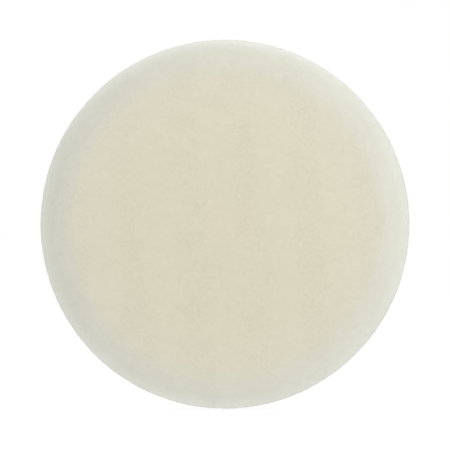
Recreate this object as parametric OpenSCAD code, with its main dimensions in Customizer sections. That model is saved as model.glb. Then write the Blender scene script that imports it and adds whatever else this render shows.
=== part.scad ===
// Felt polishing wheel: a felt pad with a loop back on a hook-faced, threaded backing.
// The wheel spins about Y. Its working face looks along -Y, and the spindle enters from +Y.
// The origin is on the spin axis, at the hub's end face.

/* [Felt pad] */
// Diameter of the felt pad
pad_d = 150; // [150:5:180]
// Thickness of the felt pad
pad_t = 25; // [20:1:40]
// Radius of the rounded shoulder between the working face and the wall
shoulder_r = 14; // [4:1:16]
// Radius of the small rounding at the pad's back edge
back_edge_r = 2; // [1:0.5:3]

/* [Hook and loop] */
// Diameter of the loop cloth
loop_d = 144; // [126:1:146]
// Thickness of the loop cloth
loop_t = 1.6; // [1:0.1:3]
// Diameter of the hook sheet
hook_d = 125; // [120:1:126]
// Thickness of the hook sheet, hooks included
hook_t = 1.8; // [1.2:0.1:3]
// Thickness of each adhesive film
film_t = 0.3; // [0.1:0.1:0.5]
// How far each adhesive film stays back from the edge
film_setback = 0.5; // [0:0.5:2]

/* [Cushion] */
// Thickness of the foam cushion
cushion_t = 10; // [5:1:20]

/* [Backing plate] */
// Diameter of the backing plate
plate_d = 118; // [110:1:120]
// Thickness of the plate's web between its ribs
web_t = 3.5; // [2.5:0.5:5]
// Height of the plate's centre boss, from its front face
boss_h = 8; // [7:0.5:10]
// Height of the rim ring, from the front face
rim_h = 7; // [5:0.5:8]
// Width of the rim ring
rim_w = 4; // [3:0.5:6]
// Thickness of the collar that centres the flange
collar_t = 3; // [2:0.5:4]
// Height of the collar above the flange
collar_rise = 1; // [0.5:0.5:2]
// Number of ribs
rib_n = 24; // [20:1:30]
// Thickness of a rib
rib_t = 2.2; // [1.6:0.2:3]

/* [Threaded hub] */
// Height of the hub from the flange's underside to its end face
hub_h = 16; // [12:1:20]
// Diameter of the hub's barrel
barrel_d = 26; // [22:1:27]
// Distance across the spanner flats
flats_w = 22; // [19:1:22]
// Length of the spanner flats along the barrel
flats_h = 8; // [5:1:9]
// Diameter of the hub's flange
flange_d = 50; // [48:1:54]
// Thickness of the hub's flange
flange_t = 3; // [2:0.5:4]
// Minor diameter of the M14 x 2 thread
thread_minor_d = 11.835; // [11.835]
// Diameter of the clearance hole for the spindle's end
spindle_clear_d = 17; // [15:0.5:18]

/* [Rivets] */
// Number of rivets
rivet_n = 6; // [4:1:6]
// Diameter of the circle that the rivets stand on
rivet_pcd = 38; // [38:0.5:39]
// Diameter of a rivet's shank
shank_d = 5; // [4:0.5:5]
// Diameter of a rivet's head
head_d = 9; // [7:0.5:9]
// Height of a rivet's domed back head
dome_h = 2; // [1.5:0.1:2.5]
// Height of a rivet's flattened front head
peen_h = 1.3; // [1:0.1:1.4]
// Thickness of the steel ring under the front heads
ring_t = 1.5; // [1:0.5:1.5]

/* [Hidden] */
$fn = 96;

// Radial play between a shank and its hole, and between the flange and its collar
hole_play = 0.1;
collar_play = 0.4;
hole_r = shank_d / 2 + hole_play;
// Depth of the pocket in the plate's front face that holds the ring and the front heads
pocket_h = ring_t + peen_h + 0.2;
pocket_r = flange_d / 2 + 0.5;
collar_r = flange_d / 2 + collar_play;
// How far a cutter runs past the face that it opens
past = 1;

// Planes along the spin axis, measured from the hub's end face towards the work
flange_back_z = -hub_h + flange_t;
boss_z = -hub_h;
plate_z = boss_z - boss_h;
cushion_back_z = plate_z - film_t;
cushion_front_z = cushion_back_z - cushion_t;
hook_back_z = cushion_front_z - film_t;
hook_front_z = hook_back_z - hook_t;
loop_front_z = hook_front_z - loop_t;
pad_back_z = loop_front_z - film_t;
face_z = pad_back_z - pad_t;

// Turns a shape made about Z so that its +Z becomes the wheel's +Y
module on_spin_axis() {
    rotate([-90, 0, 0]) children();
}

// A round disc of thickness t whose front face is at z
module disc(d, t, z) {
    translate([0, 0, z]) cylinder(d = d, h = t);
}

// One copy of the children at each rivet
module at_rivets() {
    for (i = [0 : rivet_n - 1])
        rotate([0, 0, i * 360 / rivet_n + 90 / rivet_n])
            translate([rivet_pcd / 2, 0, 0]) children();
}

// Half outline of the felt: a flat face, the shoulder's arc, the wall and the small back rounding
module pad_outline() {
    r = pad_d / 2;
    flat_r = r - shoulder_r;
    translate([0, face_z]) square([flat_r, pad_t]);
    translate([0, face_z + shoulder_r]) square([r, pad_t - shoulder_r - back_edge_r]);
    translate([0, face_z + pad_t / 2]) square([r - back_edge_r, pad_t / 2]);
    intersection() {
        translate([flat_r, face_z + shoulder_r]) circle(r = shoulder_r);
        translate([flat_r, face_z]) square([shoulder_r, shoulder_r]);
    }
    intersection() {
        translate([r - back_edge_r, pad_back_z - back_edge_r]) circle(r = back_edge_r);
        translate([r - back_edge_r, pad_back_z - back_edge_r]) square(back_edge_r);
    }
}

// Thick needle-punched wool felt disc
module felt_pad() {
    color("#dbd5bd") on_spin_axis() rotate_extrude() pad_outline();
}

// Hot-melt film between the felt and the loop cloth
module loop_adhesive() {
    color("#cdb98a") on_spin_axis() disc(loop_d - 2 * film_setback, film_t, loop_front_z - film_t);
}

// Brushed loop cloth on the back of the felt
module loop_cloth() {
    color("#e8e6dc") on_spin_axis() disc(loop_d, loop_t, loop_front_z);
}

// Nylon hook sheet, as the envelope of its base and hooks
module hook_sheet() {
    color("#2b2c2e") on_spin_axis() disc(hook_d, hook_t, hook_front_z);
}

// Film between the hook sheet and the cushion
module hook_adhesive() {
    color("#cdb98a") on_spin_axis() disc(hook_d - 2 * film_setback, film_t, hook_back_z);
}

// Foam disc that widens from the plate to the hook sheet
module cushion() {
    color("#6f7478") on_spin_axis() translate([0, 0, cushion_front_z])
        cylinder(d1 = hook_d, d2 = plate_d, h = cushion_t);
}

// Film between the cushion and the plate
module cushion_adhesive() {
    color("#cdb98a") on_spin_axis() disc(plate_d - 2 * film_setback, film_t, cushion_back_z);
}

// One rib, which slopes from the collar's top down to the rim ring
module rib() {
    r_in = collar_r + collar_t / 2;
    r_out = plate_d / 2 - rim_w / 2;
    collar_top_z = flange_back_z + collar_rise;
    rotate([90, 0, 0]) translate([0, 0, -rib_t / 2]) linear_extrude(rib_t)
        polygon([
            [r_in, plate_z + web_t / 2], [r_out, plate_z + web_t / 2],
            [r_out, plate_z + rim_h - 0.5], [r_in, collar_top_z - 0.5]
        ]);
}

// Web, boss, collar and rim ring in one turned shape
module plate_turned() {
    rotate_extrude() difference() {
        union() {
            translate([0, plate_z]) square([plate_d / 2, web_t]);
            translate([0, plate_z]) square([collar_r + collar_t, boss_h]);
            translate([collar_r, plate_z])
                square([collar_t, flange_back_z + collar_rise - plate_z]);
            translate([plate_d / 2 - rim_w, plate_z]) square([rim_w, rim_h]);
        }
        translate([-past, plate_z - past])
            square([spindle_clear_d / 2 + past, boss_h + 2 * past]);
        translate([-past, plate_z - past]) square([pocket_r + past, pocket_h + past]);
    }
}

// Moulded plate with its ribs and rivet holes
module backing_plate() {
    color("#26282b") on_spin_axis() difference() {
        union() {
            plate_turned();
            for (i = [0 : rib_n - 1]) rotate([0, 0, i * 360 / rib_n]) rib();
        }
        at_rivets() translate([0, 0, plate_z - past]) cylinder(r = hole_r, h = boss_h + 2 * past);
    }
}

// Steel ring that spreads the rivets' pull over the plastic
module clamp_ring() {
    z = plate_z + pocket_h - ring_t;
    color("#9a9da0") on_spin_axis() difference() {
        disc(flange_d, ring_t, z);
        translate([0, 0, z - past]) cylinder(d = spindle_clear_d, h = ring_t + 2 * past);
        at_rivets() translate([0, 0, z - past]) cylinder(r = hole_r, h = ring_t + 2 * past);
    }
}

// A domed head: the cap of a sphere that is head_d wide and dome_h high
module dome() {
    cap_r = (pow(head_d / 2, 2) + pow(dome_h, 2)) / (2 * dome_h);
    intersection() {
        translate([0, 0, dome_h - cap_r]) sphere(r = cap_r);
        cylinder(d = head_d, h = dome_h + past);
    }
}

// Steel rivets: a domed head on the flange and a flattened one on the ring
module rivets() {
    ring_front_z = plate_z + pocket_h - ring_t;
    color("#b9bcbf") on_spin_axis() at_rivets() {
        translate([0, 0, ring_front_z - peen_h]) cylinder(d = head_d, h = peen_h);
        translate([0, 0, ring_front_z - peen_h])
            cylinder(d = shank_d, h = flange_back_z - ring_front_z + peen_h);
        translate([0, 0, flange_back_z]) dome();
    }
}

// Steel hub: flange, barrel, two spanner flats and the thread's bore at its minor diameter
module threaded_hub() {
    color("#b4b8bb") on_spin_axis() difference() {
        union() {
            disc(flange_d, flange_t, boss_z);
            disc(barrel_d, hub_h, boss_z);
        }
        for (side = [-1, 1])
            translate([side * (flats_w + barrel_d) / 2, 0, (past - flats_h) / 2])
                cube([barrel_d, 2 * barrel_d, flats_h + past], center = true);
        translate([0, 0, boss_z - past]) cylinder(d = thread_minor_d, h = hub_h + 2 * past);
        at_rivets() translate([0, 0, boss_z - past]) cylinder(r = hole_r, h = flange_t + 2 * past);
    }
}

felt_pad();
loop_adhesive();
loop_cloth();
hook_sheet();
hook_adhesive();
cushion();
cushion_adhesive();
backing_plate();
clamp_ring();
rivets();
threaded_hub();
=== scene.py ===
"""Felt polishing wheel: a felt pad with a loop back, on a cushioned backing with a threaded hub."""

import math
import random

import bmesh
import bpy
from mathutils import Matrix, Vector


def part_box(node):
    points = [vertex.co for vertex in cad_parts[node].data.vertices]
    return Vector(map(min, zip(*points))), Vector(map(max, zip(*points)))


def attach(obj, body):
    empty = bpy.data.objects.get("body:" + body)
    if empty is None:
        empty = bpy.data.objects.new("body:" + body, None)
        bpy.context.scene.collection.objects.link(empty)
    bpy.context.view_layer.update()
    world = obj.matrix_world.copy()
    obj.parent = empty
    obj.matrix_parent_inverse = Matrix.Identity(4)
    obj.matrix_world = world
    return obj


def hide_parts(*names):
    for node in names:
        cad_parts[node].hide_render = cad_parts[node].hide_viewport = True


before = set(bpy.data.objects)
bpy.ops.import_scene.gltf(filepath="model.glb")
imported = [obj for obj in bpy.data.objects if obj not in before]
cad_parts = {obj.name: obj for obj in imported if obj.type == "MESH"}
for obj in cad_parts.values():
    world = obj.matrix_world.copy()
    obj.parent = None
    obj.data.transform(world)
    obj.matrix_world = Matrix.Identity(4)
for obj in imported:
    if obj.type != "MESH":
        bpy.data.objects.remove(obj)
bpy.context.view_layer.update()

# ---- Studio ---------------------------------------------------------------------------------
# A white sweep that lights the wheel evenly from all round, a large soft light on the upper right
# with a weak one above and one behind, and a long lens square on to the working face.

felt_low, felt_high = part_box("felt_pad")
felt_r = (felt_high.x - felt_low.x) / 2
face_y = felt_low.y
shoulder_r = 0.014
sensor_w = 0.036
camera_away = 1.6
camera_below_axis = 0.0003
felt_share_of_frame = 0.819
sweep_seen, sweep_given = 1.0, 0.782
floor_seen, floor_given = 0.2, 0.04
glow_seen, glow_given = 0.86, 0.94
floor_w = 40
floor_gap = 0.0008
lens = sensor_w * felt_share_of_frame * (camera_away + shoulder_r) / (2 * felt_r)

bpy.ops.object.camera_add(
    location=(0, face_y - camera_away, -camera_below_axis), rotation=(math.pi / 2, 0, 0),
)
camera = bpy.context.object
camera.data.sensor_width = sensor_w * 1000
camera.data.lens = lens * 1000
camera.data.clip_end = 100
bpy.context.scene.camera = camera
bpy.context.scene.view_settings.view_transform = "Standard"


def soft_light(name, place, width, watts):
    """A square softbox that looks at the middle of the working face."""
    aim = (Vector((0, face_y, 0)) - Vector(place)).to_track_quat("-Z", "Y").to_euler()
    bpy.ops.object.light_add(type="AREA", location=place, rotation=aim)
    light = bpy.context.object
    light.name = name
    light.data.size = width
    light.data.energy = watts


soft_light("key_light", place=(0.27, face_y - 0.32, 0.24), width=0.34, watts=0.66)
soft_light("top_light", place=(-0.45, 0.35, 1.1), width=0.7, watts=1.8)
soft_light("back_light", place=(-0.1, 1.1, 1.0), width=0.7, watts=7.0)


def add(tree, kind, sockets=(), **settings):
    """Adds a shader node, sets it, and fills its sockets with values or other nodes' outputs."""
    made = tree.nodes.new("ShaderNode" + kind)
    for name, value in settings.items():
        setattr(made, name, value)
    for name, value in dict(sockets).items():
        if isinstance(value, bpy.types.NodeSocket):
            tree.links.new(value, made.inputs[name])
        else:
            made.inputs[name].default_value = value
    return made


def calc(tree, operation, a, b=0.0, c=0.0):
    """The result of one Math node."""
    return add(tree, "Math", {0: a, 1: b, 2: c}, operation=operation).outputs[0]


def seen_and_given(tree, seen, given):
    """A brightness that the camera sees directly, and another that the surface gives as light."""
    straight = add(tree, "LightPath").outputs["Is Camera Ray"]
    return calc(tree, "MULTIPLY_ADD", straight, seen - given, given)


sweep = bpy.data.worlds.new("white_sweep")
bpy.context.scene.world = sweep
sweep.use_nodes = True
sweep.node_tree.nodes["Background"].inputs["Color"].default_value = (1, 1, 1, 1)
brightness = seen_and_given(sweep.node_tree, sweep_seen, sweep_given)
sweep.node_tree.links.new(brightness, sweep.node_tree.nodes["Background"].inputs["Strength"])

floor_white = bpy.data.materials.new("floor_white")
floor_white.use_nodes = True
floor_shader = floor_white.node_tree.nodes["Principled BSDF"]
shade = seen_and_given(floor_white.node_tree, floor_seen, floor_given)
floor_white.node_tree.links.new(shade, floor_shader.inputs["Base Color"])
floor_shader.inputs["Roughness"].default_value = 1.0
floor_shader.inputs["Specular IOR Level"].default_value = 0.0
floor_shader.inputs["Emission Color"].default_value = (1, 1, 1, 1)
glow = seen_and_given(floor_white.node_tree, glow_seen, glow_given)
floor_white.node_tree.links.new(glow, floor_shader.inputs["Emission Strength"])
bpy.ops.mesh.primitive_plane_add(size=floor_w, location=(0, 0, felt_low.z - floor_gap))
floor = bpy.context.object
floor.name = "floor"
floor.data.materials.append(floor_white)

# ---- Felt pad -------------------------------------------------------------------------------
# Undyed wool, carded, stacked and needle-punched into a thick felt, cut to a disc and skived to
# a round shoulder. The needles leave pin pricks in faint rows across the face. The face is a
# yellowed cream and the skived shoulder paler, and a painted sheen makes the shoulder's outer
# edge paler still.

felt_t = felt_high.y - face_y
back_edge_r = 0.002
felt_grid = 0.00072
band_pitch = 24.3
band_lean = math.radians(4.5)
band_shift = 2.0
band_wander = 9.0
pricks_per_mm = 0.75
row_pricks, stray_pricks = 0.68, 0.06
prick_rim, prick_core = 0.62, 0.12
skived_from, skived_to = 60.0, 68.0
wall_from, wall_to = 9.0, 14.0
fibre_turns = (0.6, 2.1, 3.6)
fibre_bend = (3, 3, 3)
# Felt colour by share of the radius: the face's real cream and the paler skived shoulder, with a
# painted sheen that lightens the shoulder's outer edge.
cream_and_rim_sheen_by_radius = (
    (0.00, (0.706, 0.665, 0.499)),
    (0.50, (0.709, 0.672, 0.510)),
    (0.74, (0.713, 0.677, 0.540)),
    (0.82, (0.706, 0.682, 0.556)),
    (0.87, (0.704, 0.692, 0.601)),
    (0.93, (0.714, 0.714, 0.625)),
    (1.00, (0.794, 0.806, 0.729)),
)
wall_cream = (0.675, 0.660, 0.566)
batt_line = (0.50, 0.475, 0.38)
stained = (0.45, 0.41, 0.28)
matted = (0.45, 0.41, 0.30)
bright_fibre = (0.85, 0.83, 0.72)
band_shade = (0.45, 0.42, 0.30)
# Painted shade for the pin pricks' holes.
prick_painted_shade = (0.28, 0.25, 0.17)
z_to_front = (math.pi / 2, 0, 0)
z_to_back = (-math.pi / 2, 0, 0)


def only(piece):
    """Leaves just this piece selected and active."""
    bpy.ops.object.select_all(action="DESELECT")
    piece.select_set(True)
    bpy.context.view_layer.objects.active = piece


def keep_place():
    """Puts the place, turn and size of all that is selected into its mesh."""
    bpy.ops.object.transform_apply(location=True, rotation=True, scale=True)


def start(name, operator, **settings):
    """Adds a primitive with nothing else selected, and puts its place into its mesh."""
    bpy.ops.object.select_all(action="DESELECT")
    operator(**settings)
    piece = bpy.context.object
    piece.name = name
    piece.data.name = name
    keep_place()
    return piece


def edit(piece):
    """Opens a piece in edit mode."""
    only(piece)
    bpy.ops.object.mode_set(mode="EDIT")


def leave():
    """Goes back from edit mode."""
    bpy.ops.object.mode_set(mode="OBJECT")


def pick(piece, kind, wanted):
    """In edit mode, selects only the faces, edges or vertices that are wanted."""
    mesh = bmesh.from_edit_mesh(piece.data)
    bpy.ops.mesh.select_all(action="DESELECT")
    bpy.ops.mesh.select_mode(type={"verts": "VERT", "edges": "EDGE", "faces": "FACE"}[kind])
    for element in getattr(mesh, kind):
        if wanted(element):
            element.select_set(True)
    mesh.select_flush_mode()
    bmesh.update_edit_mesh(piece.data)


def round_edges(radius, segments):
    """Rounds the selected edges."""
    bpy.ops.mesh.bevel(offset=radius, segments=segments, profile=0.5, affect="EDGES")


def modify(piece, kind, **settings):
    """Adds a modifier and applies it."""
    bpy.context.view_layer.objects.active = piece
    made = piece.modifiers.new(kind.lower(), kind)
    for name, value in settings.items():
        setattr(made, name, value)
    bpy.ops.object.modifier_apply(modifier=made.name)


def roughen(piece, name, size, height, direction="NORMAL"):
    """Moves the surface by a cloud pattern of that grain size and total height."""
    clouds = bpy.data.textures.new(name, "CLOUDS")
    clouds.noise_scale = size
    clouds.noise_depth = 2
    modify(
        piece, "DISPLACE", texture=clouds, texture_coords="LOCAL", strength=height,
        mid_level=0.5, direction=direction,
    )


def on_plane(edge, y, within=1e-5):
    """True for an edge that lies in the plane at y."""
    return all(abs(v.co.y - y) < within for v in edge.verts)


def tint(tree, share, first, second):
    """A colour mixed from two: all of the first at a share of 0, all of the second at 1."""
    mixed = add(tree, "Mix", {"Factor": share}, data_type="RGBA")
    for socket, colour in ((mixed.inputs[6], first), (mixed.inputs[7], second)):
        if isinstance(colour, bpy.types.NodeSocket):
            tree.links.new(colour, socket)
        else:
            socket.default_value = (*colour, 1)
    return mixed.outputs[2]


def spread(tree, value, low, high, to_low=0.0, to_high=1.0):
    """Maps a value smoothly from one range to another."""
    ranged = {"Value": value, "From Min": low, "From Max": high, "To Min": to_low, "To Max": to_high}
    return add(tree, "MapRange", ranged, interpolation_type="SMOOTHSTEP").outputs[0]


def stretch(tree, point, by):
    """A point multiplied along each axis."""
    return add(tree, "VectorMath", {0: point, 1: by}, operation="MULTIPLY").outputs[0]


def from_axis(tree, point):
    """A point's distance from the spin axis."""
    across = stretch(tree, point, (1, 0, 1))
    return add(tree, "VectorMath", {0: across}, operation="LENGTH").outputs["Value"]


def relief(tree, shader, height, strength, depth, invert=False):
    """Bumps a material's surface: a height of 1 stands out by the depth."""
    sockets = {"Height": height, "Strength": strength, "Distance": depth}
    bump = add(tree, "Bump", sockets, invert=invert)
    tree.links.new(bump.outputs[0], shader.inputs["Normal"])


def new_finish(name):
    """A new material, its nodes, its shader, and the piece's own coordinates in millimetres."""
    made = bpy.data.materials.new(name)
    made.use_nodes = True
    tree = made.node_tree
    metres = add(tree, "TexCoord").outputs["Object"]
    mm = add(tree, "VectorMath", {0: metres, "Scale": 1000.0}, operation="SCALE").outputs[0]
    return made, tree, tree.nodes["Principled BSDF"], mm


def new_effect(name, numbers, output):
    """A node group that takes a point in millimetres and some numbers, and puts out one value."""
    made = bpy.data.node_groups.new(name, "ShaderNodeTree")
    made.interface.new_socket("Point", in_out="INPUT", socket_type="NodeSocketVector")
    for number in numbers:
        made.interface.new_socket(number, in_out="INPUT", socket_type="NodeSocketFloat")
    made.interface.new_socket(output, in_out="OUTPUT", socket_type="NodeSocketFloat")
    return made, made.nodes.new("NodeGroupInput").outputs, made.nodes.new("NodeGroupOutput").inputs


def put(tree, effect, point, **numbers):
    """Places an effect in a material with its own numbers, and gives its output."""
    return add(tree, "Group", {"Point": point, **numbers}, node_tree=effect).outputs[0]


def noise(tree, point, scale, detail=2.0, roughness=0.5):
    """A noise value."""
    sockets = {"Vector": point, "Scale": scale, "Detail": detail, "Roughness": roughness}
    return add(tree, "TexNoise", sockets).outputs["Fac"]


fibres, taken_in, given_out = new_effect("fibres", ("Length", "Width"), "Height")
bend = add(fibres, "TexNoise", {"Vector": taken_in["Point"], "Scale": 0.3}).outputs["Color"]
bent = {0: bend, 1: fibre_bend, 2: taken_in["Point"]}
bent = add(fibres, "VectorMath", bent, operation="MULTIPLY_ADD").outputs[0]
thin = calc(fibres, "DIVIDE", 1.0, taken_in["Width"])
along = calc(fibres, "DIVIDE", 1.0, taken_in["Length"])
stretched = add(fibres, "CombineXYZ", {"X": along, "Y": thin, "Z": thin}).outputs[0]
strands = []
for turn in fibre_turns:
    laid = {"Vector": bent, "Rotation": (0, turn, 0)}
    laid = add(fibres, "Mapping", laid, vector_type="POINT").outputs[0]
    laid = stretch(fibres, laid, stretched)
    strands.append(spread(fibres, noise(fibres, laid, 1.0, detail=1.0), 0.45, 0.75))
crossed = calc(fibres, "MAXIMUM", strands[0], calc(fibres, "MAXIMUM", strands[1], strands[2]))
fibres.links.new(crossed, given_out["Height"])

felt = start(
    "felt", bpy.ops.mesh.primitive_cylinder_add, vertices=256, radius=felt_r, depth=felt_t,
    location=(0, face_y + felt_t / 2, 0), rotation=z_to_front,
)
edit(felt)
pick(felt, "edges", lambda e: on_plane(e, face_y))
round_edges(shoulder_r, segments=16)
pick(felt, "edges", lambda e: on_plane(e, felt_high.y))
round_edges(back_edge_r, segments=4)
leave()
modify(felt, "REMESH", mode="VOXEL", voxel_size=felt_grid)
roughen(felt, "felt_waves", size=0.018, height=0.0004)
roughen(felt, "felt_matting", size=0.0026, height=0.00028)
bpy.ops.object.shade_smooth()

felt_wool, tree, shader, mm = new_finish("felt_wool")
radius = from_axis(tree, mm)
place = add(tree, "SeparateXYZ", {0: mm}).outputs
wander = noise(tree, mm, 0.035, detail=1.0)
drift = calc(tree, "MULTIPLY_ADD", wander, band_wander, band_shift - band_wander / 2)
upright = calc(tree, "ADD", place["X"], drift)
row = calc(tree, "MULTIPLY_ADD", place["Z"], math.tan(band_lean), upright)
wave = calc(tree, "COSINE", calc(tree, "MULTIPLY_ADD", row, 2 * math.pi / band_pitch, math.pi))
punched = spread(tree, wave, -0.6, 0.9)
cells = add(tree, "TexVoronoi", {"Vector": mm, "Scale": pricks_per_mm}).outputs
lot = add(tree, "SeparateColor", {"Color": cells["Color"]}).outputs[0]
share = calc(tree, "MULTIPLY_ADD", punched, row_pricks, stray_pricks)
taken = calc(tree, "LESS_THAN", lot, share)
prick = calc(tree, "MULTIPLY", spread(tree, cells["Distance"], prick_rim, prick_core), taken)
skived = spread(tree, radius, skived_from, skived_to, 1.0, 0.3)
prick = calc(tree, "MULTIPLY", prick, skived)
nap = noise(tree, mm, 0.75, detail=1.0)
strand = put(tree, fibres, mm, Length=3.5, Width=0.16)
# This ramp paints the felt's cream by radius, and painted sheen on the shoulder's outer edge.
cream_and_sheen_ramp = add(tree, "ValToRGB", {"Fac": calc(tree, "DIVIDE", radius, felt_r * 1000)})
stops = cream_and_sheen_ramp.color_ramp.elements
for share, cream_and_sheen in cream_and_rim_sheen_by_radius[1:-1]:
    stops.new(share)
for stop, (_, cream_and_sheen) in zip(stops, cream_and_rim_sheen_by_radius):
    stop.color = (*cream_and_sheen, 1)
below_face = calc(tree, "SUBTRACT", place["Y"], face_y * 1000)
wool = tint(tree, spread(tree, below_face, wall_from, wall_to), cream_and_sheen_ramp.outputs["Color"], wall_cream)
layers = noise(tree, stretch(tree, mm, (0.12, 1.3, 0.12)), 1.0, detail=3.0, roughness=0.6)
batts = spread(tree, layers, 0.45, 0.75, 0.0, 0.45)
on_wall = spread(tree, below_face, wall_from - 1.0, wall_to)
wool = tint(tree, calc(tree, "MULTIPLY", batts, on_wall), wool, batt_line)
stains = noise(tree, mm, 0.12, detail=3.0)
wool = tint(tree, spread(tree, stains, 0.3, 0.7, 0.0, 0.045), wool, stained)
wool = tint(tree, spread(tree, nap, 0.3, 0.75, 0.04, 0.0), wool, matted)
wool = tint(tree, calc(tree, "MULTIPLY", strand, 0.10), wool, bright_fibre)
wool = tint(tree, calc(tree, "MULTIPLY", punched, 0.02), wool, band_shade)
# Painted shade darkens the pin pricks' holes.
wool = tint(tree, calc(tree, "MULTIPLY", prick, 0.066), wool, prick_painted_shade)
tree.links.new(wool, shader.inputs["Base Color"])
height = calc(tree, "MULTIPLY_ADD", strand, 0.6, calc(tree, "MULTIPLY", nap, 0.4))
height = calc(tree, "SUBTRACT", height, calc(tree, "MULTIPLY", prick, 0.35))
relief(tree, shader, height, strength=0.45, depth=0.0002)
shader.inputs["Roughness"].default_value = 0.95
shader.inputs["Specular IOR Level"].default_value = 0.15
shader.inputs["Sheen Weight"].default_value = 0.15
shader.inputs["Sheen Roughness"].default_value = 0.6
felt.data.materials.append(felt_wool)
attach(felt, "pad")
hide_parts("felt_pad")

# ---- Felt nap -------------------------------------------------------------------------------
# Loose ends of wool that skiving and cutting raise on the shoulder and the wall. They are fine,
# short, curved and laid over at random, and they soften the outline.

nap_sectors = 60
nap_per_sector = 230
nap_len = 0.0008
nap_r = 0.000028
nap_root = 0.00012
lying_degrees = (20, 78)
end_sizes = (0.6, 1.2)
towards_wall = 0.6
end_deep, end_pale = (0.76, 0.74, 0.65), (0.86, 0.85, 0.77)
wall_len = felt_t - shoulder_r - back_edge_r
arc_len = shoulder_r * math.pi / 2
dice = random.Random(7)


def with_copies(piece, count):
    """A list of the piece and its copies, each with a mesh of its own."""
    pieces = [piece]
    for _ in range(count - 1):
        copy = piece.copy()
        copy.data = piece.data.copy()
        bpy.context.collection.objects.link(copy)
        pieces.append(copy)
    return pieces


def copies_round(piece, count, first=0.0):
    """Turns a piece to its first place round the spin axis, and joins evenly spaced copies to it."""
    copies = with_copies(piece, count)
    bpy.ops.object.select_all(action="DESELECT")
    for number, copy in enumerate(copies):
        copy.rotation_euler[1] = -(first + number * 2 * math.pi / count)
        copy.select_set(True)
    bpy.context.view_layer.objects.active = piece
    keep_place()
    bpy.ops.object.join()


nap_ends = start(
    "felt_nap", bpy.ops.mesh.primitive_cone_add, vertices=3, radius1=nap_r, radius2=0,
    depth=nap_len, location=(0, 0, nap_len / 2 - nap_root),
)
edit(nap_ends)
pick(nap_ends, "edges", lambda e: abs(e.verts[0].co.z - e.verts[1].co.z) > nap_len / 2)
bpy.ops.mesh.subdivide(number_cuts=1)
pick(nap_ends, "verts", lambda v: v.co.z > nap_len / 2)
bpy.ops.transform.translate(value=(nap_len / 3, 0, -nap_len / 8))
bpy.ops.mesh.select_all(action="SELECT")
bpy.ops.mesh.quads_convert_to_tris()
leave()
ends = with_copies(nap_ends, nap_per_sector)
bpy.ops.object.select_all(action="DESELECT")
for end in ends:
    down = (arc_len + wall_len) * dice.random() ** towards_wall
    slope = min(down / shoulder_r, math.pi / 2)
    out = felt_r - shoulder_r + shoulder_r * math.sin(slope)
    back = face_y + shoulder_r * (1 - math.cos(slope)) + max(down - arc_len, 0.0)
    round_axis = dice.uniform(0, 2 * math.pi / nap_sectors)
    spin = Matrix.Rotation(-round_axis, 4, "Y")
    outward = Vector((math.sin(slope), -math.cos(slope), 0))
    stand = outward.to_track_quat("Z", "Y").to_matrix().to_4x4()
    swirl = Matrix.Rotation(dice.uniform(0, 2 * math.pi), 4, "Z")
    lie = Matrix.Rotation(math.radians(dice.uniform(*lying_degrees)), 4, "X")
    size = Matrix.Scale(dice.uniform(*end_sizes), 4)
    end.matrix_world = spin @ Matrix.Translation((out, back, 0)) @ stand @ swirl @ lie @ size
    end.select_set(True)
bpy.context.view_layer.objects.active = nap_ends
keep_place()
bpy.ops.object.join()
copies_round(nap_ends, nap_sectors)
bpy.ops.object.shade_smooth()

wool_ends, tree, shader, mm = new_finish("wool_ends")
pale = tint(tree, noise(tree, mm, 0.4), end_deep, end_pale)
tree.links.new(pale, shader.inputs["Base Color"])
shader.inputs["Roughness"].default_value = 0.8
shader.inputs["Specular IOR Level"].default_value = 0.2
nap_ends.data.materials.append(wool_ends)
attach(nap_ends, "pad")

# ---- Adhesive films -------------------------------------------------------------------------
# Three thin films of amber hot-melt glue: felt to loop cloth, hook sheet to cushion, and cushion
# to plate. Each stops half a millimetre short of the edge, so only a line of it shows.

amber_deep, amber_pale = (0.50, 0.37, 0.17), (0.63, 0.51, 0.29)

patches, taken_in, given_out = new_effect("patches", ("Size",), "Share")
one_over = calc(patches, "DIVIDE", 1.0, taken_in["Size"])
cloudy = noise(patches, taken_in["Point"], one_over, detail=3.0)
patches.links.new(spread(patches, cloudy, 0.3, 0.7), given_out["Share"])

hot_melt, tree, shader, mm = new_finish("hot_melt")
amber = tint(tree, put(tree, patches, mm, Size=4.0), amber_deep, amber_pale)
tree.links.new(amber, shader.inputs["Base Color"])
relief(tree, shader, noise(tree, mm, 0.8), strength=0.4, depth=0.0003)
shader.inputs["Roughness"].default_value = 0.38


def refinish(node, finish):
    """Gives a CAD node a better material."""
    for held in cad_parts[node].material_slots:
        held.material = finish


for film in ("loop_adhesive", "hook_adhesive", "cushion_adhesive"):
    refinish(film, hot_melt)

# ---- Loop cloth -----------------------------------------------------------------------------
# Warp-knitted polyamide, laid flat and bonded to the felt's back. A tight ground carries a pile
# of fine loops, which stand up towards the hooks.

loop_low, loop_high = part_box("loop_cloth")
loop_r = (loop_high.x - loop_low.x) / 2
ground_t = 0.0005
loop_pitch = 0.0023
loop_half = 0.00055
yarn_r = 0.00016
loop_rise = (loop_high.y - loop_low.y - ground_t) / (loop_half + yarn_r)
ivory_deep, ivory_pale = (0.64, 0.62, 0.545), (0.69, 0.675, 0.60)
ivory_rubbed = (0.46, 0.44, 0.37)


def faces_front(face):
    """True for a face that looks towards the work."""
    return face.normal.y < -0.9


def faces_back(face):
    """True for a face that looks towards the spindle."""
    return face.normal.y > 0.9


def extrude(by, grow=1.0):
    """Extrudes what is selected along Y, and then widens or narrows its far end."""
    bpy.ops.mesh.extrude_region_move(TRANSFORM_OT_translate={"value": (0, by, 0)})
    if grow != 1.0:
        bpy.ops.transform.resize(value=(grow, 1, grow))


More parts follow.
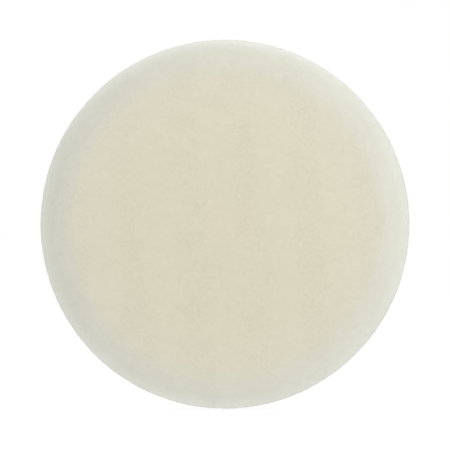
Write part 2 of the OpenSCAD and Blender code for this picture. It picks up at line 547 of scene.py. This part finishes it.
def thin_disc(name, radius, back, front, rings=9):
    """A flat round sheet with rings of faces, closed at the middle, between two planes."""
    sheet = start(
        name, bpy.ops.mesh.primitive_cylinder_add, vertices=160, radius=radius,
        depth=back - front, location=(0, (back + front) / 2, 0), rotation=z_to_front,
    )
    edit(sheet)
    for looking in (faces_front, faces_back):
        pick(sheet, "faces", looking)
        for _ in range(rings):
            bpy.ops.mesh.inset(thickness=radius / (rings + 1))
        bpy.ops.mesh.poke()
    leave()
    return sheet


def carpet(tuft, pitch, radius):
    """Repeats a tuft over a round area, in rows staggered by half a pitch."""
    half = math.ceil(radius / pitch) * pitch
    count = 2 * round(half / pitch) + 1
    edit(tuft)
    bpy.ops.mesh.select_all(action="SELECT")
    bpy.ops.transform.translate(value=(-half, 0, -half))
    bpy.ops.mesh.duplicate_move(TRANSFORM_OT_translate={"value": (pitch / 2, 0, pitch / 2)})
    leave()
    for step in ((pitch, 0, 0), (0, 0, pitch)):
        modify(
            tuft, "ARRAY", count=count, use_relative_offset=False, use_constant_offset=True,
            constant_offset_displace=step,
        )

    def beyond(v):
        """True where the root nearest to a point lies outside the round area."""
        roots = []
        for shift in (0.0, pitch / 2):
            x = round((v.co.x - shift) / pitch) * pitch + shift
            z = round((v.co.z - shift) / pitch) * pitch + shift
            roots.append((math.hypot(v.co.x - x, v.co.z - z), math.hypot(x, z)))
        return min(roots)[1] > radius

    edit(tuft)
    pick(tuft, "verts", beyond)
    bpy.ops.mesh.delete(type="VERT")
    leave()


loop_ground = thin_disc("loop_cloth_ground", loop_r, loop_low.y + ground_t, loop_low.y)
bpy.ops.object.shade_smooth_by_angle(angle=math.radians(40))

loop_pile = start(
    "loop_pile", bpy.ops.mesh.primitive_circle_add, vertices=3, radius=yarn_r, fill_type="NGON",
    location=(-loop_half, 0, 0), rotation=z_to_front,
)
edit(loop_pile)
bpy.ops.mesh.select_all(action="SELECT")
bpy.ops.mesh.spin(steps=5, angle=-math.pi, center=(0, 0, 0), axis=(0, 0, 1))
bpy.ops.mesh.select_all(action="SELECT")
bpy.ops.mesh.normals_make_consistent(inside=False)
bpy.ops.transform.resize(value=(1, loop_rise, 1), center_override=(0, 0, 0))
bpy.ops.transform.translate(value=(0, loop_low.y + ground_t, 0))
leave()
carpet(loop_pile, loop_pitch, loop_r - loop_pitch / 2)
roughen(loop_pile, "loop_shift_x", size=0.005, height=0.0018, direction="X")
roughen(loop_pile, "loop_shift_z", size=0.006, height=0.0018, direction="Z")
roughen(loop_pile, "loop_height", size=0.003, height=0.0003, direction="Y")
bpy.ops.object.shade_smooth()

loop_yarn, tree, shader, mm = new_finish("loop_yarn")
ivory = tint(tree, put(tree, patches, mm, Size=9.0), ivory_deep, ivory_pale)
rubbed = put(tree, fibres, mm, Length=1.2, Width=0.12)
ivory = tint(tree, calc(tree, "MULTIPLY", rubbed, 0.35), ivory, ivory_rubbed)
tree.links.new(ivory, shader.inputs["Base Color"])
relief(tree, shader, rubbed, strength=0.5, depth=0.0001)
shader.inputs["Roughness"].default_value = 0.7
shader.inputs["Specular IOR Level"].default_value = 0.3
shader.inputs["Sheen Weight"].default_value = 0.3
for piece in (loop_ground, loop_pile):
    piece.data.materials.append(loop_yarn)
    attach(piece, "pad")
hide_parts("loop_cloth")

# ---- Hook sheet -----------------------------------------------------------------------------
# Black nylon, moulded in one piece: a thin base with thousands of small mushroom-headed stems,
# which catch the loops and hold the felt by friction and hook.

hook_low, hook_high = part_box("hook_sheet")
hook_r = (hook_high.x - hook_low.x) / 2
base_t = 0.0006
hook_pitch = 0.0025
stem_r = 0.0002
stem_root = 0.0001
crown_t = 0.00018
crown_spread = 2.1
crown_taper = 0.6
hook_flange_t = 0.00012
base_front = hook_high.y - base_t
stem_h = base_front - hook_low.y - crown_t - hook_flange_t
hook_black, hook_grey = (0.020, 0.021, 0.023), (0.028, 0.029, 0.031)
hook_lint = (0.45, 0.44, 0.38)

grain, taken_in, given_out = new_effect("grain", ("Size",), "Height")
one_over = calc(grain, "DIVIDE", 1.0, taken_in["Size"])
cells = add(grain, "TexVoronoi", {"Vector": taken_in["Point"], "Scale": one_over}).outputs
fine = noise(grain, taken_in["Point"], one_over, detail=3.0)
grain.links.new(calc(grain, "MULTIPLY_ADD", fine, 0.5, cells["Distance"]), given_out["Height"])

lint, taken_in, given_out = new_effect("lint", ("Amount",), "Share")
fluff = put(lint, fibres, taken_in["Point"], Length=3.0, Width=0.1)
where = noise(lint, taken_in["Point"], 0.45, detail=4.0, roughness=0.7)
caught = calc(lint, "MULTIPLY", fluff, spread(lint, where, 0.5, 0.72))
lint.links.new(calc(lint, "MULTIPLY", caught, taken_in["Amount"]), given_out["Share"])

hook_face = thin_disc("hook_face", hook_r, hook_high.y, base_front)
hooks = start(
    "hooks", bpy.ops.mesh.primitive_cylinder_add, vertices=5, radius=stem_r,
    depth=stem_h + stem_root, location=(0, base_front - (stem_h - stem_root) / 2, 0),
    rotation=z_to_front,
)
edit(hooks)
pick(hooks, "faces", faces_front)
extrude(0.0, grow=crown_spread)
extrude(-hook_flange_t)
extrude(-crown_t, grow=crown_taper)
leave()
carpet(hooks, hook_pitch, hook_r - hook_pitch / 3)
hook_face.select_set(True)
bpy.context.view_layer.objects.active = hook_face
bpy.ops.object.join()
bpy.ops.object.shade_smooth_by_angle(angle=math.radians(40))

hook_nylon, tree, shader, mm = new_finish("hook_nylon")
black = tint(tree, put(tree, patches, mm, Size=6.0), hook_black, hook_grey)
black = tint(tree, put(tree, lint, mm, Amount=0.25), black, hook_lint)
tree.links.new(black, shader.inputs["Base Color"])
relief(tree, shader, put(tree, grain, mm, Size=0.3), strength=0.3, depth=0.0001)
shader.inputs["Roughness"].default_value = 0.42
hook_face.data.materials.append(hook_nylon)
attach(hook_face, "backing")
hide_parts("hook_sheet")

# ---- Cushion --------------------------------------------------------------------------------
# Grey closed-cell polyurethane foam, cut from sheet with a slanted edge and glued between plate
# and hook sheet. The knife opens the cells round its edge, which swells a little between the
# two glued faces.

foam_low, foam_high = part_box("cushion")
foam_front_r = (foam_high.x - foam_low.x) / 2
plate_low, plate_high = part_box("backing_plate")
foam_back_r = (plate_high.x - plate_low.x) / 2
foam_t = foam_high.y - foam_low.y
foam_edge_r = 0.0006
foam_bulge = 0.006
foam_rings = 6
foam_grid = 0.0008
foam_deep, foam_pale = (0.128, 0.134, 0.140), (0.150, 0.156, 0.162)
# Painted shade for the hollows of the open cells.
foam_pore_painted_shade = (0.035, 0.037, 0.040)
foam_lint = (0.55, 0.54, 0.48)


def at_foam_face(edge):
    """True for an edge round the cushion's front or back face."""
    return on_plane(edge, foam_low.y) or on_plane(edge, foam_high.y)


cushion = start(
    "foam_cushion", bpy.ops.mesh.primitive_cone_add, vertices=192, radius1=foam_back_r,
    radius2=foam_front_r, depth=foam_t, location=(0, (foam_low.y + foam_high.y) / 2, 0),
    rotation=z_to_front,
)
edit(cushion)
pick(cushion, "edges", lambda e: not at_foam_face(e))
bpy.ops.mesh.subdivide(number_cuts=foam_rings - 1)
for ring in range(1, foam_rings):
    level = foam_high.y - foam_t * ring / foam_rings
    pick(cushion, "edges", lambda e: on_plane(e, level, 1e-4))
    swell = 1 + foam_bulge * math.sin(math.pi * ring / foam_rings)
    bpy.ops.transform.resize(value=(swell, 1, swell), center_override=(0, level, 0))
pick(cushion, "edges", at_foam_face)
round_edges(foam_edge_r, segments=3)
leave()
modify(cushion, "REMESH", mode="VOXEL", voxel_size=foam_grid)
roughen(cushion, "foam_lumps", size=0.007, height=0.0002)
roughen(cushion, "foam_cells", size=0.0012, height=0.00018)
bpy.ops.object.shade_smooth()

foam, tree, shader, mm = new_finish("foam")
large = add(tree, "TexVoronoi", {"Vector": mm, "Scale": 1.7}).outputs["Distance"]
small = add(tree, "TexVoronoi", {"Vector": mm, "Scale": 3.6}).outputs["Distance"]
large = spread(tree, large, 0.5, 0.1)
small = spread(tree, small, 0.4, 0.1, 0.0, 0.7)
pore = calc(tree, "MAXIMUM", large, small)
grey = tint(tree, put(tree, patches, mm, Size=8.0), foam_deep, foam_pale)
# Painted shade darkens the hollows of the open cells.
grey = tint(tree, calc(tree, "MULTIPLY", pore, 0.5), grey, foam_pore_painted_shade)
grey = tint(tree, put(tree, lint, mm, Amount=0.3), grey, foam_lint)
tree.links.new(grey, shader.inputs["Base Color"])
relief(tree, shader, pore, strength=0.7, depth=0.0003, invert=True)
shader.inputs["Roughness"].default_value = 0.9
shader.inputs["Specular IOR Level"].default_value = 0.25
cushion.data.materials.append(foam)
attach(cushion, "backing")
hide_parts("cushion")

# ---- Backing plate --------------------------------------------------------------------------
# Black glass-filled nylon, injection moulded: a web with a rim ring, a boss inside a collar, and
# drafted ribs that slope from the collar down to the rim. A pocket in front takes the rivets.

hub_low, hub_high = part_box("threaded_hub")
ring_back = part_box("clamp_ring")[1].y
plate_r = foam_back_r
plate_front = plate_low.y
boss_back = hub_low.y
collar_back = plate_high.y
web_t = 0.0035
rim_h = 0.007
rim_w = 0.004
collar_t = 0.003
collar_gap = 0.0004
flange_r = (hub_high.x - hub_low.x) / 2
collar_r = flange_r + collar_gap
pocket_gap = 0.0005
pocket_r = flange_r + pocket_gap
spindle_r = 0.0085
rib_count = 24
rib_t = 0.0022
rib_draft = 0.72
rib_sink = 0.0005
rib_edge_r = 0.0005
mould_edge_r = 0.0004
rivet_count = 6
rivet_ring_r = 0.019
rivet_hole_r = 0.0026
first_rivet = math.radians(90 / rivet_count)
past = 0.001
plate_black, plate_grey = (0.020, 0.021, 0.023), (0.034, 0.035, 0.037)
glass_streak = (0.10, 0.10, 0.105)
plate_lint = (0.42, 0.41, 0.36)


def remove(piece):
    """Takes a used cutter away."""
    bpy.data.objects.remove(piece, do_unlink=True)


def cut(piece, tool, operation="DIFFERENCE"):
    """Cuts a piece with a tool, or welds the tool to it, and takes the tool away."""
    modify(piece, "BOOLEAN", object=tool, operation=operation, solver="EXACT")
    remove(tool)


def ease_edges(piece, radius):
    """Rounds all of a piece's sharp edges."""
    modify(
        piece, "BEVEL", width=radius, segments=3, limit_method="ANGLE",
        angle_limit=math.radians(40),
    )


def rivet_holes(front, back):
    """A cutter for the ring of rivet holes between two planes."""
    drills = start(
        "drills", bpy.ops.mesh.primitive_cylinder_add, vertices=32, radius=rivet_hole_r,
        depth=back - front, location=(rivet_ring_r, (front + back) / 2, 0),
        rotation=z_to_front,
    )
    copies_round(drills, rivet_count, first_rivet)
    return drills


plate = start(
    "ribbed_plate", bpy.ops.mesh.primitive_cylinder_add, vertices=192, radius=plate_r,
    depth=rim_h, location=(0, plate_front + rim_h / 2, 0), rotation=z_to_back,
)
edit(plate)
pick(plate, "faces", faces_back)
bpy.ops.mesh.inset(thickness=rim_w)
extrude(web_t - rim_h)
bpy.ops.mesh.inset(thickness=plate_r - rim_w - collar_r - collar_t)
extrude(collar_back - plate_front - web_t)
bpy.ops.mesh.inset(thickness=collar_t)
extrude(boss_back - collar_back)
bpy.ops.mesh.inset(thickness=collar_r - spindle_r)
pick(plate, "faces", faces_front)
bpy.ops.mesh.inset(thickness=plate_r - pocket_r)
extrude(ring_back - plate_front)
bpy.ops.mesh.inset(thickness=pocket_r - spindle_r)
pick(plate, "faces", lambda f: len(f.verts) > 4)
bpy.ops.mesh.bridge_edge_loops()
leave()
ease_edges(plate, mould_edge_r)

rib_in = collar_r + collar_t / 2
rib_out = plate_r - rim_w / 2
rib_foot = plate_front + web_t / 2
rib_in_back = collar_back - rib_sink
rib_out_back = plate_front + rim_h - rib_sink


def rib_outer_corner(edge):
    """True for the edge across the rib's back, at its outer end."""
    return on_plane(edge, rib_in_back) and min(v.co.x for v in edge.verts) > rib_in + 1e-4


def rib_crest(edge):
    """True for the two long edges of the rib's back."""
    clear_of_foot = min(v.co.y for v in edge.verts) > rib_foot + 0.001
    return clear_of_foot and abs(edge.verts[0].co.x - edge.verts[1].co.x) > 0.01


ribs = start(
    "ribs", bpy.ops.mesh.primitive_cube_add, size=1,
    location=((rib_in + rib_out) / 2, (rib_foot + rib_in_back) / 2, 0),
    scale=(rib_out - rib_in, rib_in_back - rib_foot, rib_t),
)
edit(ribs)
pick(ribs, "edges", rib_outer_corner)
bpy.ops.transform.translate(value=(0, rib_out_back - rib_in_back, 0))
pick(ribs, "faces", faces_back)
bpy.ops.transform.resize(value=(1, 1, rib_draft))
pick(ribs, "edges", rib_crest)
round_edges(rib_edge_r, segments=3)
leave()
copies_round(ribs, rib_count)
only(plate)
cut(plate, ribs, "UNION")
cut(plate, rivet_holes(plate_front - past, boss_back + past))
only(plate)
bpy.ops.object.shade_smooth_by_angle(angle=math.radians(35))

glass_nylon, tree, shader, mm = new_finish("glass_nylon")
black = tint(tree, put(tree, patches, mm, Size=14.0), plate_black, plate_grey)
streak = put(tree, fibres, mm, Length=2.5, Width=0.18)
black = tint(tree, calc(tree, "MULTIPLY", streak, 0.12), black, glass_streak)
black = tint(tree, put(tree, lint, mm, Amount=0.14), black, plate_lint)
tree.links.new(black, shader.inputs["Base Color"])
dull = spread(tree, noise(tree, mm, 0.12, detail=4.0), 0.3, 0.7, 0.42, 0.58)
tree.links.new(dull, shader.inputs["Roughness"])
relief(tree, shader, put(tree, grain, mm, Size=0.45), strength=0.35, depth=0.00012)
plate.data.materials.append(glass_nylon)
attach(plate, "backing")
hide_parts("backing_plate")

# ---- Threaded hub ---------------------------------------------------------------------------
# Turned steel, bright zinc plated: a flange that seats in the plate's collar, and a barrel with
# two spanner flats. Its bore carries a right-hand M14 x 2 thread for the spindle.

flange_h = 0.003
barrel_r = 0.013
flat_half = 0.011
flat_h = 0.008
turned_edge_r = 0.0004
thread_minor_r = 0.0059175
thread_major_r = 0.007
thread_pitch = 0.002
thread_chamfer = 0.0011
tooth_overrun = 0.0002
flank_angle = math.radians(30)
zinc_blue, zinc_warm = (0.56, 0.59, 0.635), (0.66, 0.66, 0.64)
zinc_stain = (0.30, 0.31, 0.32)

hub = start(
    "hub", bpy.ops.mesh.primitive_cylinder_add, vertices=128, radius=flange_r, depth=flange_h,
    location=(0, hub_low.y + flange_h / 2, 0), rotation=z_to_back,
)
edit(hub)
pick(hub, "faces", faces_back)
bpy.ops.mesh.inset(thickness=flange_r - barrel_r)
extrude(hub_high.y - hub_low.y - flange_h)
leave()
for side in (-1, 1):
    flat = start(
        "flat", bpy.ops.mesh.primitive_cube_add, size=1,
        location=(side * (flat_half + barrel_r), hub_high.y - flat_h / 2 + past / 2, 0),
        scale=(2 * barrel_r, flat_h + past, 4 * barrel_r),
    )
    cut(hub, flat)
ease_edges(hub, turned_edge_r)
hub_mid = (hub_low.y + hub_high.y) / 2
bore = start(
    "bore", bpy.ops.mesh.primitive_cylinder_add, vertices=64, radius=thread_minor_r,
    depth=hub_high.y - hub_low.y - 2 * thread_chamfer, location=(0, hub_mid, 0),
    rotation=z_to_front,
)
edit(bore)
flare = thread_chamfer + past
for side, looking in ((-1, faces_front), (1, faces_back)):
    pick(bore, "faces", looking)
    extrude(side * flare, grow=1 + flare / thread_minor_r)
leave()
cut(hub, bore)

tooth_root_half = thread_pitch / 16
tooth_depth = thread_major_r - thread_minor_r + tooth_overrun
tooth_mouth_half = tooth_root_half + tooth_depth * math.tan(flank_angle)
tooth = (
    (thread_major_r - tooth_depth, -tooth_mouth_half), (thread_major_r, -tooth_root_half),
    (thread_major_r, tooth_root_half), (thread_major_r - tooth_depth, tooth_mouth_half),
)
tap = start("tap", bpy.ops.mesh.primitive_circle_add, vertices=4, radius=thread_pitch)
for corner, (out, up) in zip(tap.data.vertices, tooth):
    corner.co = (out, 0, up)
turns = math.ceil((hub_high.y - hub_low.y) / thread_pitch) + 2
modify(
    tap, "SCREW", axis="Z", angle=2 * math.pi, screw_offset=thread_pitch, iterations=turns,
    steps=48, render_steps=48,
)
edit(tap)
half_way = turns * thread_pitch / 2
for low_end in (True, False):
    pick(tap, "edges", lambda e: e.is_boundary and (e.verts[0].co.z < half_way) == low_end)
    bpy.ops.mesh.edge_face_add()
bpy.ops.mesh.select_all(action="SELECT")
bpy.ops.mesh.normals_make_consistent(inside=False)
leave()
tap.rotation_euler = z_to_back
tap.location = (0, hub_low.y - thread_pitch, 0)
only(tap)
keep_place()
only(hub)
cut(hub, tap)
cut(hub, rivet_holes(hub_low.y - past, hub_low.y + flange_h + past))
only(hub)
bpy.ops.object.shade_smooth_by_angle(angle=math.radians(30))

turned, taken_in, given_out = new_effect("turned", ("Pitch",), "Height")
depth_in = add(turned, "SeparateXYZ", {0: taken_in["Point"]}).outputs["Y"]
shake = calc(turned, "MULTIPLY", noise(turned, taken_in["Point"], 0.5), 0.25)
tool_path = calc(turned, "ADD", from_axis(turned, taken_in["Point"]), depth_in)
tool_path = calc(turned, "MULTIPLY", calc(turned, "ADD", tool_path, shake), 2 * math.pi)
groove = calc(turned, "SINE", calc(turned, "DIVIDE", tool_path, taken_in["Pitch"]))
turned.links.new(calc(turned, "MULTIPLY_ADD", groove, 0.5, 0.5), given_out["Height"])

smudge, taken_in, given_out = new_effect("smudge", ("Low", "High"), "Roughness")
handled = noise(smudge, taken_in["Point"], 0.16, detail=5.0, roughness=0.6)
handled = spread(smudge, handled, 0.35, 0.65)
ranged = {"Value": handled, "To Min": taken_in["Low"], "To Max": taken_in["High"]}
smudge.links.new(add(smudge, "MapRange", ranged).outputs[0], given_out["Roughness"])

bright_zinc, tree, shader, mm = new_finish("bright_zinc")
zinc = tint(tree, put(tree, patches, mm, Size=11.0), zinc_blue, zinc_warm)
specks = spread(tree, noise(tree, mm, 1.4, detail=3.0), 0.62, 0.72, 0.0, 0.35)
zinc = tint(tree, specks, zinc, zinc_stain)
tree.links.new(zinc, shader.inputs["Base Color"])
tree.links.new(put(tree, smudge, mm, Low=0.24, High=0.42), shader.inputs["Roughness"])
relief(tree, shader, put(tree, turned, mm, Pitch=0.45), strength=0.18, depth=0.0001)
shader.inputs["Metallic"].default_value = 1.0
hub.data.materials.append(bright_zinc)
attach(hub, "backing")
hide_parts("threaded_hub")

# ---- Clamp ring -----------------------------------------------------------------------------
# A zinc plated steel ring in the plate's front pocket, which spreads the rivets' pull over the
# plastic. The cushion hides it.

refinish("clamp_ring", bright_zinc)

# ---- Rivets ---------------------------------------------------------------------------------
# Six steel rivets through flange, boss and ring, with a domed head behind and a head set flat in
# front. The setting tool leaves the heads a little duller than the hub.

rivet_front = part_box("rivets")[0].y
head_r = 0.0045
shank_r = 0.0025
dome_h = 0.002
peen_h = 0.0013
peen_edge_r = 0.0005
dome_steps = 6
flange_back = hub_low.y + flange_h
shank_len = flange_back - rivet_front - peen_h
steel_deep, steel_pale = (0.42, 0.435, 0.46), (0.53, 0.53, 0.52)
steel_mark = (0.22, 0.225, 0.23)

rivets = start(
    "rivet_set", bpy.ops.mesh.primitive_cylinder_add, vertices=40, radius=head_r, depth=peen_h,
    location=(rivet_ring_r, rivet_front + peen_h / 2, 0), rotation=z_to_back,
)
edit(rivets)
pick(rivets, "edges", lambda e: on_plane(e, rivet_front))
round_edges(peen_edge_r, segments=3)
pick(rivets, "faces", faces_back)
bpy.ops.mesh.inset(thickness=head_r - shank_r)
extrude(shank_len)
extrude(0.0, grow=head_r / shank_r)
cap_r = (head_r**2 + dome_h**2) / (2 * dome_h)
cap_angle = math.asin(head_r / cap_r)
for step in range(dome_steps):
    near = cap_angle * (1 - step / (dome_steps + 0.5))
    far = cap_angle * (1 - (step + 1) / (dome_steps + 0.5))
    extrude(cap_r * (math.cos(far) - math.cos(near)), grow=math.sin(far) / math.sin(near))
leave()
copies_round(rivets, rivet_count, first_rivet)
bpy.ops.object.shade_smooth_by_angle(angle=math.radians(35))

rivet_steel, tree, shader, mm = new_finish("rivet_steel")
steel = tint(tree, put(tree, patches, mm, Size=3.0), steel_deep, steel_pale)
struck = spread(tree, noise(tree, mm, 1.1, detail=4.0), 0.55, 0.7, 0.0, 0.5)
steel = tint(tree, struck, steel, steel_mark)
tree.links.new(steel, shader.inputs["Base Color"])
tree.links.new(put(tree, smudge, mm, Low=0.32, High=0.52), shader.inputs["Roughness"])
relief(tree, shader, put(tree, grain, mm, Size=0.6), strength=0.12, depth=0.0001)
shader.inputs["Metallic"].default_value = 1.0
rivets.data.materials.append(rivet_steel)
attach(rivets, "backing")
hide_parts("rivets")
